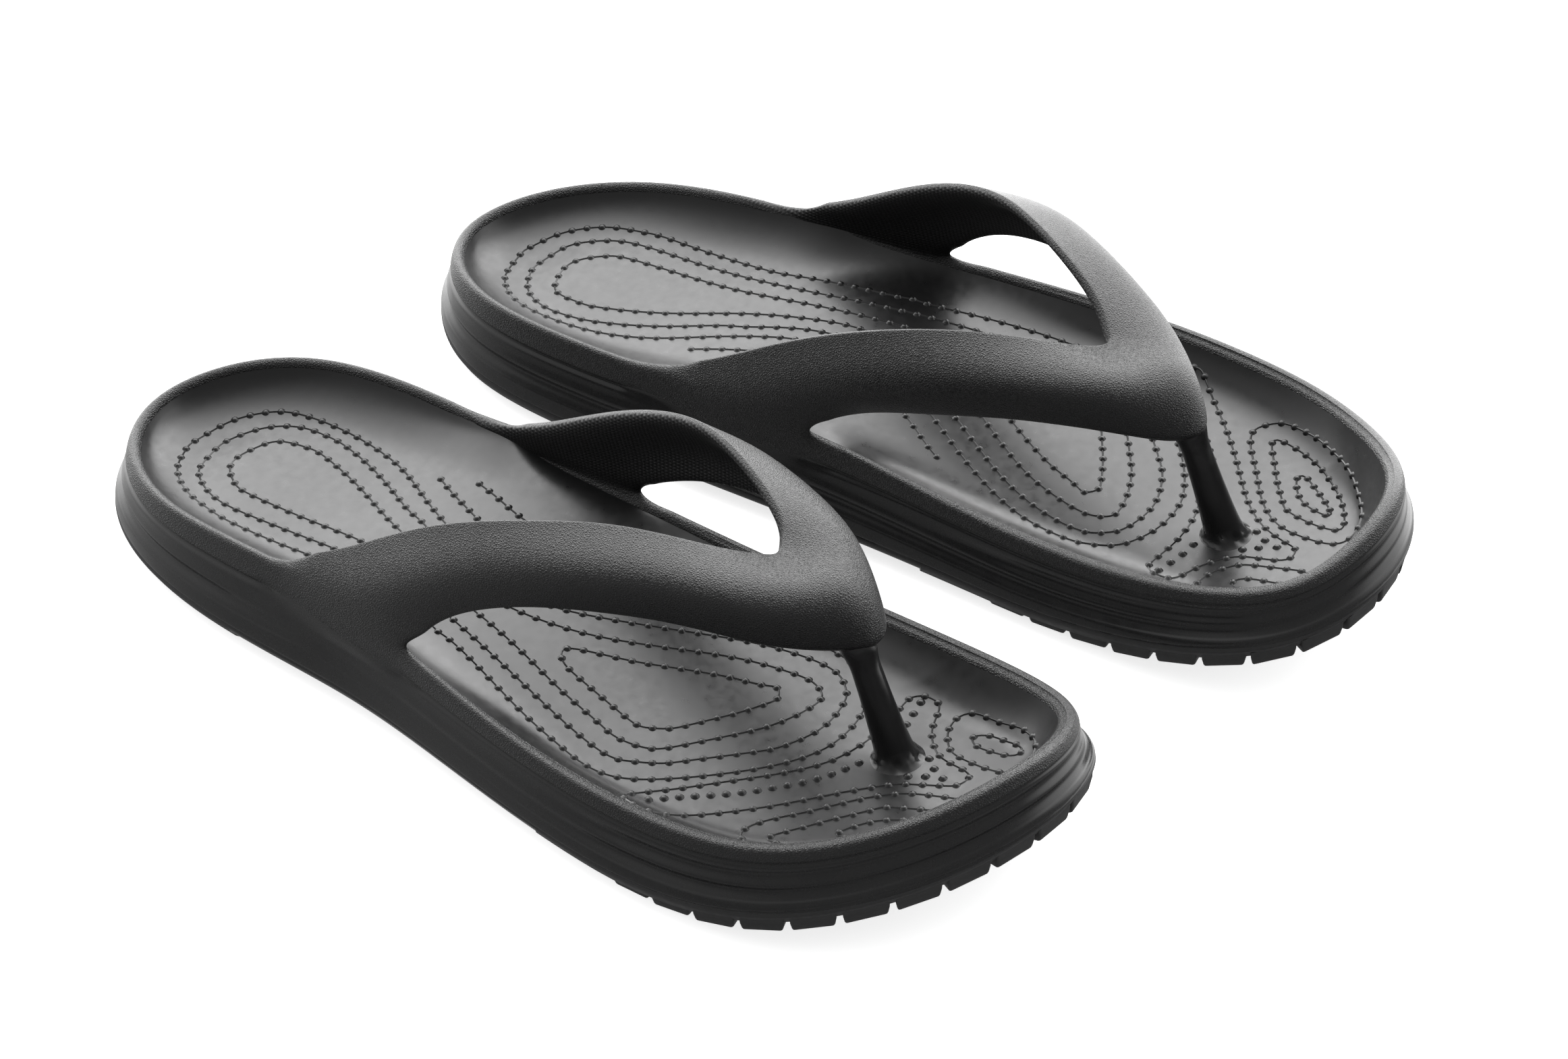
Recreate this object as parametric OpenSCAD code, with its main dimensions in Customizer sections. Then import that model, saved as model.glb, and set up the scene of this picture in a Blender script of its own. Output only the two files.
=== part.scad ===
// A pair of moulded foam thong sandals, standing side by side with the toes towards -Y.
// Each sandal is drawn once, as a right one, with the toe towards +Y, the little toe towards +X
// and the floor at z = 0. It is then turned into its place, and mirrored for the left foot.

/* [Size] */
// Length of the sole's lower edge, heel to toe
sole_length = 285; // [250:1:310]
// Width of the sole's lower edge at the ball of the foot
sole_width = 100; // [88:1:108]
// How far the lower edge rises at the tip of the toe
toe_spring = 19; // [8:0.5:22]
// How far the lower edge rises at the back of the heel
heel_spring = 1.6; // [0:0.1:4]

/* [Sole layers] */
// Height of a tread lug, which is also the height of the lower edge above the floor
lug_height = 3.6; // [2.5:0.1:4.5]
// Thickness of a tread pad without its lugs
pad_thickness = 3; // [2:0.1:3.5]
// Thickness of the footbed
footbed_thickness = 2.5; // [2:0.1:3]
// Width of the grained rim, from its crest to the edge of the footbed
rim_width = 4.2; // [3:0.1:5]

/* [Tread] */
// Length of a lug along the edge of the sole
lug_length = 10; // [7:0.1:11]
// Gap between neighbouring lugs
lug_gap = 2.3; // [1.5:0.1:3.5]
// How far a lug reaches in from the edge
lug_depth = 12; // [9:0.1:14]
// Rear end of the forefoot tread pad
forefoot_pad_end = 14; // [5:0.5:20]
// Front end of the heel tread pad
heel_pad_end = -62; // [-75:0.5:-50]

/* [Strap and post] */
// Thickness of the strap's arms
strap_thickness = 4.6; // [3.5:0.1:6]
// Radius of the toe post
post_radius = 4.3; // [3.8:0.1:5.5]
// Angle by which the toe post leans back towards the heel
post_lean = 20; // [12:0.5:24]
// Radius of the anchor disc under the sole
anchor_radius = 9.6; // [8:0.1:11]

/* [Standing places] */
// Distance between the two sandals' middles
pair_spacing = 120; // [112:1:160]
// How far the left sandal stands ahead of the right one
stagger = 21; // [0:1:40]
// Angle by which each toe turns outwards
splay = 3.2; // [0:0.1:8]

/* [Hidden] */

foam = "#1d1d1e";
glossy = "#262628";
rubber = "#19191a";
$fn = 48;

scale_x = sole_width / 100;
scale_y = sole_length / 285;
STEPS = 4;       // points per stretch of an outline
BAND_STEPS = 2;  // sections per stretch of the strap

// The lower edge of the sole, from the tip of the toe round by the big toe to the heel
edge_points = [
    [-4, 141.5], [-26, 140], [-42, 126], [-47.5, 95], [-45.5, 50], [-43, 8], [-42, -38],
    [-40.5, -78], [-35, -111], [-20.5, -131.5], [0, -140.5], [20.5, -130.5], [34, -106],
    [39, -72], [40, -36], [44, -2], [50, 42], [49.5, 84], [39, 112], [20, 131.5]];
// The crest of the rim, point for point above the lower edge
crest_points = [
    [-3, 138, 42], [-24, 135.5, 38], [-38.3, 121, 31.5], [-43.8, 89, 26.5], [-42.5, 46, 26],
    [-39, 5, 28.8], [-37.8, -34, 30.5], [-37.8, -72, 31], [-33, -105, 29.8],
    [-19, -126, 27], [0, -133, 25], [19, -123, 26], [32, -99, 29], [36, -67, 32.2],
    [37.5, -36, 32.5], [41.5, -8, 30.4], [48, 38, 27.5], [46.3, 80, 26.6], [36, 106.5, 29.5],
    [18.5, 126.5, 36.5]];

// Height of the footbed's middle line, every 35 mm from 140 mm behind the middle to 140 mm ahead
bed_pitch = 35;
bed_heights = [12, 19.2, 21.9, 25.3, 24.4, 19.7, 17.8, 18.6, 27.5];
arch_rise = 5;   // extra height of the footbed under the arch of the foot

// The strap, section by section from the little-toe root over the nose to the big-toe root:
// rear edge, front edge, crown of the outer face, thickness as a share of the arms' thickness
strap_sections = [
    [[38, -52, 20], [40.5, -16, 20], 0.5, 0.8],
    [[36.6, -60, 29.5], [41, -11.5, 29], 1, 0.9],
    [[34.8, -52, 36.6], [40.2, -8.5, 35], 2, 1],
    [[32.8, -37, 45], [37.8, -3, 42], 3, 1],
    [[30, -19.7, 56.4], [35, 8, 49.6], 3.5, 1],
    [[27, -1.9, 66.1], [31, 22, 54.8], 4, 1],
    [[21.5, 15.8, 71.5], [25.6, 36.4, 56.9], 5, 1],
    [[12, 33.9, 72.4], [17, 54, 56], 5.5, 1.05],
    [[2, 51.8, 68.8], [7, 72.5, 52.3], 6, 1.3],
    [[-5.5, 60.5, 65.4], [-4, 86, 50.4], 6.5, 1.7],
    [[-9.5, 62.6, 64.4], [-11.5, 90.5, 50], 7, 1.9],
    [[-14, 60.5, 65.6], [-19, 86, 50.6], 6.5, 1.7],
    [[-19.4, 53.9, 68], [-27, 72, 52.8], 6, 1.3],
    [[-27.6, 36.1, 69.8], [-33, 53, 52.8], 5, 1.05],
    [[-33.5, 17.6, 67.3], [-37.2, 37, 50.9], 4, 1],
    [[-35.5, -0.3, 60.4], [-38.6, 21, 46.5], 3.5, 1],
    [[-35.6, -17.8, 50.6], [-38.6, 9, 41.5], 3, 1],
    [[-35.8, -35, 40], [-39, -1, 35], 2.5, 1],
    [[-36.6, -50, 33.4], [-39.4, -4, 29.5], 2, 1],
    [[-37.6, -60, 28.5], [-39.6, -6, 25], 1, 0.9],
    [[-38.6, -52, 19], [-40, -10, 18], 0.5, 0.8]];

// Shift that puts the middle of the pair over the origin
centring = 1.3;
// Where the middle of the toe post leaves the footbed
post_foot = [-9.7 * scale_x, 96.3 * scale_y, 17.7];

// ---- curves ----

function mix(a, b, t) = a + (b - a) * t;
function spline(a, b, c, d, t) =
    0.5 * (2 * b + (c - a) * t + (2 * a - 5 * b + 4 * c - d) * t * t + (3 * b - a - 3 * c + d) * pow(t, 3));
function closed_curve(p, steps) = [
    for (i = [0:len(p) - 1], k = [0:steps - 1])
        let (n = len(p))
        spline(p[(i + n - 1) % n], p[i], p[(i + 1) % n], p[(i + 2) % n], k / steps)];
function open_curve(p, steps) = [
    for (i = [0:len(p) - 2], k = [0:steps - 1])
        spline(p[max(i - 1, 0)], p[i], p[i + 1], p[min(i + 2, len(p) - 1)], k / steps),
    p[len(p) - 1]];
function sized(p) = [for (q = p) len(q) == 3 ? [q.x * scale_x, q.y * scale_y, q.z] : [q.x * scale_x, q.y * scale_y]];

edge = closed_curve(sized(edge_points), STEPS);
crest = closed_curve(sized(crest_points), STEPS);
RING = len(edge);

// Outward direction at point i of the lower edge
function outward(i) =
    let (t = edge[(i + 1) % RING] - edge[(i + RING - 1) % RING])
    [t.y, -t.x] / norm(t);
// Height of the lower edge at a distance y along the sandal
function edge_height(y) =
    lug_height + toe_spring * pow(max(0, y / scale_y - 50) / 90, 2)
               + heel_spring * pow(max(0, -y / scale_y - 80) / 60, 2);

// ---- rings of the sole ----

// A ring on the side wall: t from lower edge to crest, out from the straight wall
function wall_ring(t, out) = [for (i = [0:RING - 1])
    let (o = outward(i) * out)
    [mix(edge[i].x, crest[i].x, t) + o.x, mix(edge[i].y, crest[i].y, t) + o.y,
     mix(edge_height(edge[i].y), crest[i].z, t)]];
// A ring that follows the lower edge at a fixed height above it
function edge_ring(out, up) = [for (i = [0:RING - 1])
    let (o = outward(i) * out)
    [edge[i].x + o.x, edge[i].y + o.y, edge_height(edge[i].y) + up]];
// A ring inside the crest of the rim
function rim_ring(inside, down) = [for (i = [0:RING - 1])
    let (o = outward(i) * inside)
    [crest[i].x - o.x, crest[i].y - o.y, crest[i].z - down]];

function bed_line(y) =
    let (s = min(max(y / scale_y / bed_pitch + 4, 0), 7.999), k = floor(s), h = bed_heights)
    spline(h[max(k - 1, 0)], h[k], h[k + 1], h[min(k + 2, 8)], s - k);
function bed_height(x, y) =
    bed_line(y) + arch_rise * exp(-pow((y + 32) / 36, 2)) * pow(max(0, -x / 36), 2);
// Where the footbed starts to curve up to the rim at y: near its middle line beside the heel,
// nearer the rim elsewhere and nearest at the toes
function bowl_start(y) = 0.6 - 0.55 * exp(-pow((y + 58) / 46, 4)) + 0.2 * min(max(y - 90, 0) / 40, 1);
// A ring of the footbed's top face, f from 0 on its middle line to 1 at the rim
function bed_ring(f, down = 0) =
    let (rim = rim_ring(rim_width, 1.4))
    [for (i = [0:RING - 1])
        let (x = rim[i].x * f, y = rim[i].y * mix(0.62, 1, f), start = bowl_start(rim[i].y),
             up = pow(max(0, f - start) / (1 - start), 2.4))
        [x, y, mix(bed_height(x, y), rim[i].z, up) - down]];

// Rings of the footbed, from its middle line to the rim
BED = [0.12, 0.45, 0.7, 0.82, 0.92, 1];

// ---- solids ----

// The two triangles between neighbouring points of two rings of n points
function side_faces(n, rows) = [
    for (j = [0:rows - 2], i = [0:n - 1])
        let (a = j * n + i, d = j * n + (i + 1) % n)
        each [[a, a + n, d + n], [a, d + n, d]]];
// Triangles that close a ring from each point to the one across from it, with the first point at one end
function cap_faces(n, start, top) = [
    for (i = [0:n / 2 - 1])
        let (a = start + i, b = a + 1, c = start + n - i - 1, d = c + 1)
        each concat(i > 0 ? [top ? [a, d, c] : [a, c, d]] : [],
                    i < n / 2 - 1 ? [top ? [a, c, b] : [a, b, c]] : [])];
// A closed solid through a stack of rings, each running anticlockwise seen from the end of the stack
module loft(rings) {
    n = len(rings[0]);
    rows = len(rings);
    polyhedron([for (r = rings) each r],
               concat(side_faces(n, rows), cap_faces(n, 0, false), cap_faces(n, (rows - 1) * n, true)));
}

// The lowest rings of the side wall, which the tread pads share
SOLE_FOOT = [edge_ring(-1.4, 0), edge_ring(-0.3, 0.5), edge_ring(0, 1.6), wall_ring(0.28, 0.5)];
// Everything inside the side wall, up to the underside of the footbed
module sole_body() {
    loft([each SOLE_FOOT, wall_ring(0.5, 0.2), wall_ring(0.57, -0.9), wall_ring(0.64, 0.1),
          wall_ring(0.71, -0.9), wall_ring(0.78, 1), wall_ring(0.92, 1.1), crest,
          rim_ring(2.4, 0.2), rim_ring(rim_width, 1.4),
          for (k = [len(BED) - 1:-1:0]) bed_ring(BED[k], footbed_thickness)]);
}
// The space that a tread pad fills under the sole: ahead of y if dir is 1, behind it if dir is -1
module pad_zone(y, dir) {
    curve = 70;
    intersection() {
        loft([edge_ring(2, -2), edge_ring(2, pad_thickness)]);
        translate([0, y, 0]) linear_extrude(60) {
            translate([0, dir * curve]) circle(curve, $fn = 120);
            translate([-curve, dir > 0 ? curve : -curve - 200]) square([2 * curve, 200]);
        }
    }
}
// Along the axis of the toe post, with z = 0 where it leaves the footbed
module on_post_axis() translate(post_foot) rotate([post_lean, 0, 0]) children();
// Distances along that axis: to the anchor disc, through it, and up to the post's top
ANCHOR_TOP = 5.4;
ANCHOR_THICKNESS = 2.4;
POST_TOP = 33;
BORE_REACH = 20;  // how far the bores run past the footbed, enough to leave the sole
module post_bore() on_post_axis() translate([0, 0, -BORE_REACH]) cylinder(r = post_radius, h = 2 * BORE_REACH);
module anchor_bore() on_post_axis() translate([0, 0, -BORE_REACH])
    cylinder(r = anchor_radius, h = BORE_REACH - ANCHOR_TOP);

module midsole() color(foam) difference() {
    sole_body();
    pad_zone(forefoot_pad_end * scale_y, 1);
    pad_zone(heel_pad_end * scale_y, -1);
    post_bore();
    anchor_bore();
}

module footbed() color(glossy) difference() {
    loft([for (f = BED) bed_ring(f, footbed_thickness), for (k = [len(BED) - 1:-1:0]) bed_ring(BED[k])]);
    post_bore();
}

// Distance along the lower edge from the toe to each of its points
edge_run = [for (i = 0, s = 0; i <= RING; s = s + norm(edge[(i + 1) % RING] - edge[i % RING]), i = i + 1) s];
// Point of the lower edge at a distance s from the toe, and the outward direction there
function edge_at(s) = [for (i = [0:RING - 1]) if (edge_run[i] <= s && s < edge_run[i + 1])
    [mix(edge[i], edge[(i + 1) % RING], (s - edge_run[i]) / (edge_run[i + 1] - edge_run[i])), outward(i)]][0];
// x of the lower edge at y, on the big-toe side (side = 0) or the little-toe side (side = 1)
function edge_x(y, side) = [for (i = [side * RING / 2:side * RING / 2 + RING / 2 - 1])
    let (p = edge[i], q = edge[(i + 1) % RING])
    if ((p.y - y) * (q.y - y) <= 0 && p.y != q.y) mix(p.x, q.x, (y - p.y) / (q.y - p.y))][0];

// A tread block over four corners, bevelled towards the floor
module block(corners) {
    middle = (corners[0] + corners[1] + corners[2] + corners[3]) / 4;
    foot = [for (c = corners) c + unit(middle - c) * 1];
    loft([[for (c = foot) [c.x, c.y, edge_height(c.y) - lug_height]],
          [for (c = corners) [c.x, c.y, edge_height(c.y) + 0.6]]]);
}
function unit(v) = v / norm(v);

// Blocks along the edge of the sole between two places y, from the toe round to the toe again
module edge_blocks(from, to) {
    total = edge_run[RING];
    count = floor(total / (lug_length + lug_gap));
    for (k = [0:count - 1]) {
        at = edge_at((k + 0.5) * total / count);
        p = at[0];
        out = at[1];
        along = [-out.y, out.x] * lug_length / 2;
        inset = p.y < 0 ? 4.2 : 0.6 + 2.6 * min(max(0, 90 - p.y / scale_y) / 50, 1);
        if (p.y > from && p.y < to)
            block([p - along - out * inset, p + along - out * inset,
                   p + along * 0.85 - out * lug_depth, p - along * 0.85 - out * lug_depth]);
    }
}
// Two bars across the sole at y, one on each side of the middle
module cross_bars(y) {
    half = 3.6;
    inset = lug_depth + 3.5;
    for (side = [0, 1]) {
        dir = side * 2 - 1;
        outer = edge_x(y, side) - dir * inset;
        inner = (edge_x(y, 0) + edge_x(y, 1)) / 2 + dir * 1.6;
        left = min(outer, inner);
        right = max(outer, inner);
        block([[left, y + half], [left, y - half], [right, y - half], [right, y + half]]);
    }
}

module forefoot_tread() color(rubber) difference() {
    union() {
        intersection() {
            loft(SOLE_FOOT);
            pad_zone(forefoot_pad_end * scale_y, 1);
        }
        edge_blocks((forefoot_pad_end + 24) * scale_y, 150);
        for (y = [30:10.5:84]) cross_bars(y * scale_y);
    }
    anchor_bore();
}

module heel_tread() color(rubber) {
    intersection() {
        loft(SOLE_FOOT);
        pad_zone(heel_pad_end * scale_y, -1);
    }
    edge_blocks(-150, (heel_pad_end - 12) * scale_y);
    for (y = [-112:10.5:-75]) cross_bars(y * scale_y);
}

// Half of the points round a section of the strap
BAND = 9;
strap_line = open_curve([for (s = strap_sections)
    [s[0].x * scale_x, s[0].y * scale_y, s[0].z, s[1].x * scale_x, s[1].y * scale_y, s[1].z, s[2], s[3]]], BAND_STEPS);
function rear_edge(i) = [strap_line[i][0], strap_line[i][1], strap_line[i][2]];
function front_edge(i) = [strap_line[i][3], strap_line[i][4], strap_line[i][5]];
// The section at step i: out along the outer face from rear to front edge and back along the inner face
function strap_ring(i) =
    let (last = len(strap_line) - 1,
         a = max(i - 1, 0), b = min(i + 1, last),
         run = rear_edge(b) + front_edge(b) - rear_edge(a) - front_edge(a),
         chord = front_edge(i) - rear_edge(i),
         out = unit(cross(chord, run)),
         crown = strap_line[i][6],
         thick = strap_thickness * strap_line[i][7])
    [for (k = [0:2 * BAND - 1])
        let (v = (1 - cos(180 * k / BAND)) / 2,
             bulge = crown * sin(180 * pow(v, 1.25)),
             full = pow(4 * v * (1 - v), 0.35))
        rear_edge(i) + chord * v + out * (bulge + full * thick * (k <= BAND ? 0.15 : -0.85))];

module strap() color(foam) loft([for (i = [0:len(strap_line) - 1]) strap_ring(i)]);

module toe_post() color(glossy) on_post_axis() rotate_extrude() polygon([
    [0, -ANCHOR_TOP], [post_radius, -ANCHOR_TOP], [post_radius, 0], [post_radius + 3.6, 0.2],
    [post_radius + 2, 1.4], [post_radius + 0.8, 3.2], [post_radius, 6], [post_radius - 0.4, 15],
    [post_radius - 0.2, 24], [post_radius + 0.4, 28], [post_radius + 0.4, POST_TOP], [0, POST_TOP]]);

module post_anchor() color(rubber) on_post_axis()
    translate([0, 0, -ANCHOR_TOP - ANCHOR_THICKNESS]) cylinder(r = anchor_radius, h = ANCHOR_THICKNESS);

module right_place() translate([-pair_spacing / 2, centring + stagger / 2, 0]) rotate(180 - splay) children();
module left_place() translate([pair_spacing / 2, centring - stagger / 2, 0]) rotate(180 + splay) mirror([1, 0, 0]) children();

module right_midsole() right_place() midsole();
module right_footbed() right_place() footbed();
module right_forefoot_tread() right_place() forefoot_tread();
module right_heel_tread() right_place() heel_tread();
module right_strap() right_place() strap();
module right_toe_post() right_place() toe_post();
module right_post_anchor() right_place() post_anchor();
module left_midsole() left_place() midsole();
module left_footbed() left_place() footbed();
module left_forefoot_tread() left_place() forefoot_tread();
module left_heel_tread() left_place() heel_tread();
module left_strap() left_place() strap();
module left_toe_post() left_place() toe_post();
module left_post_anchor() left_place() post_anchor();

right_midsole();
right_footbed();
right_forefoot_tread();
right_heel_tread();
right_strap();
right_toe_post();
right_post_anchor();
left_midsole();
left_footbed();
left_forefoot_tread();
left_heel_tread();
left_strap();
left_toe_post();
left_post_anchor();
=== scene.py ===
# A pair of moulded foam thong sandals on a pale floor, in soft studio light.
# One sandal is drawn in millimetres as a right one, with the toe towards +Y and the little toe
# towards +X, and is then put in its two places in the frame, mirrored for the left foot.
import math
import bmesh
import bpy
import numpy as np
from mathutils import Matrix, Vector
from mathutils.bvhtree import BVHTree
from mathutils.kdtree import KDTree


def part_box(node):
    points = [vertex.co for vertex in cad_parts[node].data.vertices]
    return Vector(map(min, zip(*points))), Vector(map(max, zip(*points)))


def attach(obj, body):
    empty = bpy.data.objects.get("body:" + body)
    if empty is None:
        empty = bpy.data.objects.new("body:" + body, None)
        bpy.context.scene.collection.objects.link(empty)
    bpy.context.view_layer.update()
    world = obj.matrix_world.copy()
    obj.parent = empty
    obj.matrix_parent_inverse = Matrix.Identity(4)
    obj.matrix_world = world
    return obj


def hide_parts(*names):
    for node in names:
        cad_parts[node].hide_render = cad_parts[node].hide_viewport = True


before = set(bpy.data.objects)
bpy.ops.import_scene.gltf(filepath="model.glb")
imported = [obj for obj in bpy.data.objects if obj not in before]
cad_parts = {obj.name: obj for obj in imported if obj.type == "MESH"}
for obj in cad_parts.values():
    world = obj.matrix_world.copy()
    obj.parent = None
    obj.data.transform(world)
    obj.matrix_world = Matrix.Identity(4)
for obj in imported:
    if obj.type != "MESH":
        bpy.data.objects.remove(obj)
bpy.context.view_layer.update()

MM = 0.001
# Degrees that each sandal is turned from the line of the pair
SPLAY = 3.2
# Points in each ring of the sole
COLUMNS = 600

# ---------------------------------------------------------------- measures shared with the CAD

# Lower edge of the sole, (x, y) round from the toe
EDGE = [
    (-4, 141.5), (-26, 140), (-42, 126), (-47.5, 95), (-45.5, 50), (-43, 8), (-42, -38),
    (-40.5, -78), (-35, -111), (-20.5, -131.5), (0, -140.5), (20.5, -130.5), (34, -106),
    (39, -72), (40, -36), (44, -2), (50, 42), (49.5, 84), (39, 112), (20, 131.5)]
# Crest of the rim, (x, y, z) round from the toe
CREST = [
    (-3, 138, 42), (-24, 135.5, 38), (-38.3, 121, 31.5), (-43.8, 89, 26.5), (-42.5, 46, 26),
    (-39, 5, 28.8), (-37.8, -34, 30.5), (-37.8, -72, 31), (-33, -105, 29.8), (-19, -126, 27),
    (0, -133, 25), (19, -123, 26), (32, -99, 29), (36, -67, 32.2), (37.5, -36, 32.5),
    (41.5, -8, 30.4), (48, 38, 27.5), (46.3, 80, 26.6), (36, 106.5, 29.5), (18.5, 126.5, 36.5)]
# Height of the footbed along the middle, from heel to toe
BED_HEIGHTS = [12, 19.2, 21.9, 25.3, 24.4, 19.7, 17.8, 18.6, 27.5]
FOOTBED = 2.5
RIM = 2.2
RIM_DROP = 1.7
LUG_HEIGHT = 3.6
LUG_LENGTH = 11.1
LUG_PITCH = 12.3
LUG_DEPTH = 12
CROSS_PITCH = 10.5
CROSS_WIDTH = 7.2
PAD = 3.0
FORE_PAD_BACK = 14
HEEL_PAD_FRONT = -62
STRAP_THICKNESS = 4.6
# The rear edge and the front edge of the strap, its crown and its share of the thickness
STRAP = [
    (38, -52, 20, 40.5, -16, 20, 0.5, 0.8), (36.6, -60, 29.5, 41, -11.5, 29, 1, 0.9),
    (34.8, -52, 36.6, 40.2, -8.5, 35, 2, 1), (32.8, -37, 45, 37.8, -3, 42, 3, 1),
    (30, -19.7, 56.4, 35, 8, 49.6, 3.5, 1), (27, -1.9, 66.1, 31, 22, 54.8, 4, 1),
    (21.5, 15.8, 71.5, 25.6, 36.4, 56.9, 5, 1), (12, 33.9, 72.4, 17, 54, 56, 5.5, 1.05),
    (2, 51.8, 68.8, 7, 72.5, 52.3, 6, 1.3), (-5.5, 60.5, 65.4, -4, 86, 50.4, 6.5, 1.7),
    (-9.5, 62.6, 64.4, -11.5, 90.5, 50, 7, 1.9), (-14, 60.5, 65.6, -19, 86, 50.6, 6.5, 1.7),
    (-19.4, 53.9, 68, -27, 72, 52.8, 6, 1.3), (-27.6, 36.1, 69.8, -33, 53, 52.8, 5, 1.05),
    (-33.5, 17.6, 67.3, -37.2, 37, 50.9, 4, 1), (-35.5, -0.3, 60.4, -38.6, 21, 46.5, 3.5, 1),
    (-35.6, -17.8, 50.6, -38.6, 9, 41.5, 3, 1), (-35.8, -35, 40, -39, -1, 35, 2.5, 1),
    (-36.6, -50, 33.4, -39.4, -4, 29.5, 2, 1), (-37.6, -60, 28.5, -39.6, -6, 25, 1, 0.9),
    (-38.6, -52, 19, -40, -10, 18, 0.5, 0.8)]
POST_FOOT = (-9.7, 96.3, 17.7)
POST_LEAN = 20.0
POST_RADIUS = 4.3
ANCHOR_RADIUS = 9.6
ANCHOR_TOP = 5.4
ANCHOR_THICKNESS = 2.4
# Above this height the upper is the strap's piece
SEAM_HEIGHT = 34.5
BLEND_REACH = 9.0
BLEND_ROUNDS = 60

# ---------------------------------------------------------------- the footbed's raised lines
# Closed lines are listed once round. Each carries a small bead every few millimetres.

BEAD_PITCH = 4.0
BEAD = (0.93, 0.66)
NUB_PITCH = 3.7
NUB = (1.02, 0.75)
RIDGE_SIZE = (0.38, 0.27)

HEEL_LOOPS = [
    [(0, -105.5), (-6, -104), (-10.5, -100.5), (-12, -93), (-11.5, -86), (-6.5, -69.5),
     (1, -51), (6.5, -32), (8.5, -22), (9, -12), (8.3, -4), (6.3, 4.5), (0.2, 18.5),
     (-11.8, 38.5), (-17.5, 52.5), (-19.2, 60.5), (-19, 64.5), (-17.5, 67.5), (-14.5, 68.8),
     (-7.5, 67.5), (-0.7, 64.8), (5.5, 61), (17.7, 52.5), (23, 47), (24.7, 39.5), (23.6, 32),
     (21.2, 17.5), (16.4, -5), (10.7, -45), (10, -69), (10.3, -90), (8.9, -98), (5, -103.5)],
    [(0, -113.3), (-4.8, -113), (-12.5, -108.5), (-17.5, -100), (-18.3, -92), (-17.5, -84),
     (-12.7, -68.5), (-6, -53.5), (-3.5, -46), (2, -31), (4, -14), (3, -5), (0.5, 4),
     (-7.8, 19.5), (-19.7, 40.3), (-24.8, 55), (-25.7, 62), (-25, 67), (-22.3, 71),
     (-19, 73.4), (-12, 75), (-4.8, 74.5), (2, 72), (8, 68), (19.5, 58), (25, 52.8),
     (29.2, 46.3), (29.7, 31), (20.8, -14), (16.7, -38), (15.7, -58), (16.4, -79),
     (16.8, -90), (15.7, -99.5), (11, -108.5), (6, -111.8)],
    [(0.5, -120), (-7, -118.7), (-13, -115.5), (-18, -110), (-21.2, -101), (-21.8, -84.5),
     (-18, -66.5), (-11.2, -52), (-5, -38), (-3, -31), (-2.6, -22), (-4.8, -3),
     (-10.5, 13.5), (-18.2, 26.5), (-28.3, 48), (-30.5, 63), (-29.5, 68), (-26.5, 73.8),
     (-21, 78), (-14, 80.3), (-6.2, 80.6), (1, 78.7), (13.2, 71.2), (29.6, 55.7), (36.5, 43),
     (35.7, 31), (33, 15.5), (27.3, -7), (26.2, -14.5), (24.4, -22.5), (21.3, -46),
     (20.7, -58), (21.8, -84), (21.3, -94), (19.5, -103), (15.5, -111), (10.3, -116.3),
     (4, -119.5)]]
TEARDROP = [
    (-12.4, 58), (-10, 60.3), (-6.5, 59.5), (0, 56.3), (6, 52.7), (12, 49), (15, 46.5),
    (17.5, 43), (18.4, 39.5), (17.4, 32), (15.8, 21), (14.3, 14.5), (11.5, 11.8), (8.8, 14),
    (5.5, 20.5), (2, 27.5), (-2, 34.5), (-5.5, 41), (-8.5, 47.5), (-11, 54.5)]
TOE_PADS = [
    [(-29, 98.9), (-32, 102), (-31.8, 108.5), (-31.3, 115), (-30, 119), (-27.5, 123),
     (-23, 125.3), (-18.5, 124), (-16.6, 120.3), (-17, 112.5), (-18.2, 106), (-20.7, 102.7),
     (-24, 100.2)],
    [(-25.4, 106.6), (-27.5, 109.5), (-27.4, 114), (-26.8, 118.4), (-24.9, 121),
     (-22.9, 118.6), (-22.6, 114), (-23, 109.3)],
    [(30, 82.4), (23.7, 85.3), (17.6, 89.8), (11.5, 94), (5.2, 98.9), (-0.2, 105.3),
     (-2.9, 112.4), (-4.4, 120), (-3.7, 124.3), (-0.5, 126), (4, 125.7), (8.5, 123.8),
     (15.5, 118.8), (21.8, 113), (27, 106.5), (31.5, 99.3), (34.3, 91.8), (34.8, 87.5),
     (33.5, 84.3)],
    [(28.5, 88.7), (21.5, 93), (14.7, 97.5), (8.4, 102.3), (5.5, 105.3), (2.5, 113.3),
     (1.3, 120.5), (4.3, 121.3), (11.3, 117.3), (17.3, 112), (23.5, 104.8), (27.7, 97.5),
     (29.9, 91)],
    [(18.5, 101), (12.5, 104.5), (8.4, 110), (6.8, 116.2), (12, 112), (17.3, 106),
     (19.8, 102.5)]]
RIDGE = [
    (-31, 88), (-31.2, 90.7), (-29.6, 93.3), (-23.2, 96.2), (-17.5, 101.1), (-15, 106),
    (-13.9, 112.6), (-11.8, 115.4), (-8.7, 114.8), (-7, 112), (-4, 105.3), (-0.3, 99.8),
    (5.5, 94), (11.5, 89.2), (17.6, 84.5), (23.5, 79.7), (29.2, 74.6), (34.3, 69.6),
    (40.5, 63.0), (41.8, 59.0), (39.0, 54.0), (31.5, 59.3), (25, 65), (19, 70), (13, 75),
    (7, 79.5), (1, 83.2), (-5.6, 85.6), (-12.7, 86.6), (-20, 86.2), (-27, 85.2),
    (-29.8, 86)]
ARCH_LINES = [
    [(-18.8, -53.5), (-15.5, -46), (-12.5, -38), (-10, -30), (-8.5, -18), (-9.5, -6),
     (-12.5, 4), (-16.5, 11.5), (-20.5, 18), (-22.3, 21.5)],
    [(-21.5, -43), (-19.5, -35), (-17.5, -27), (-15.5, -14)]]
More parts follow.
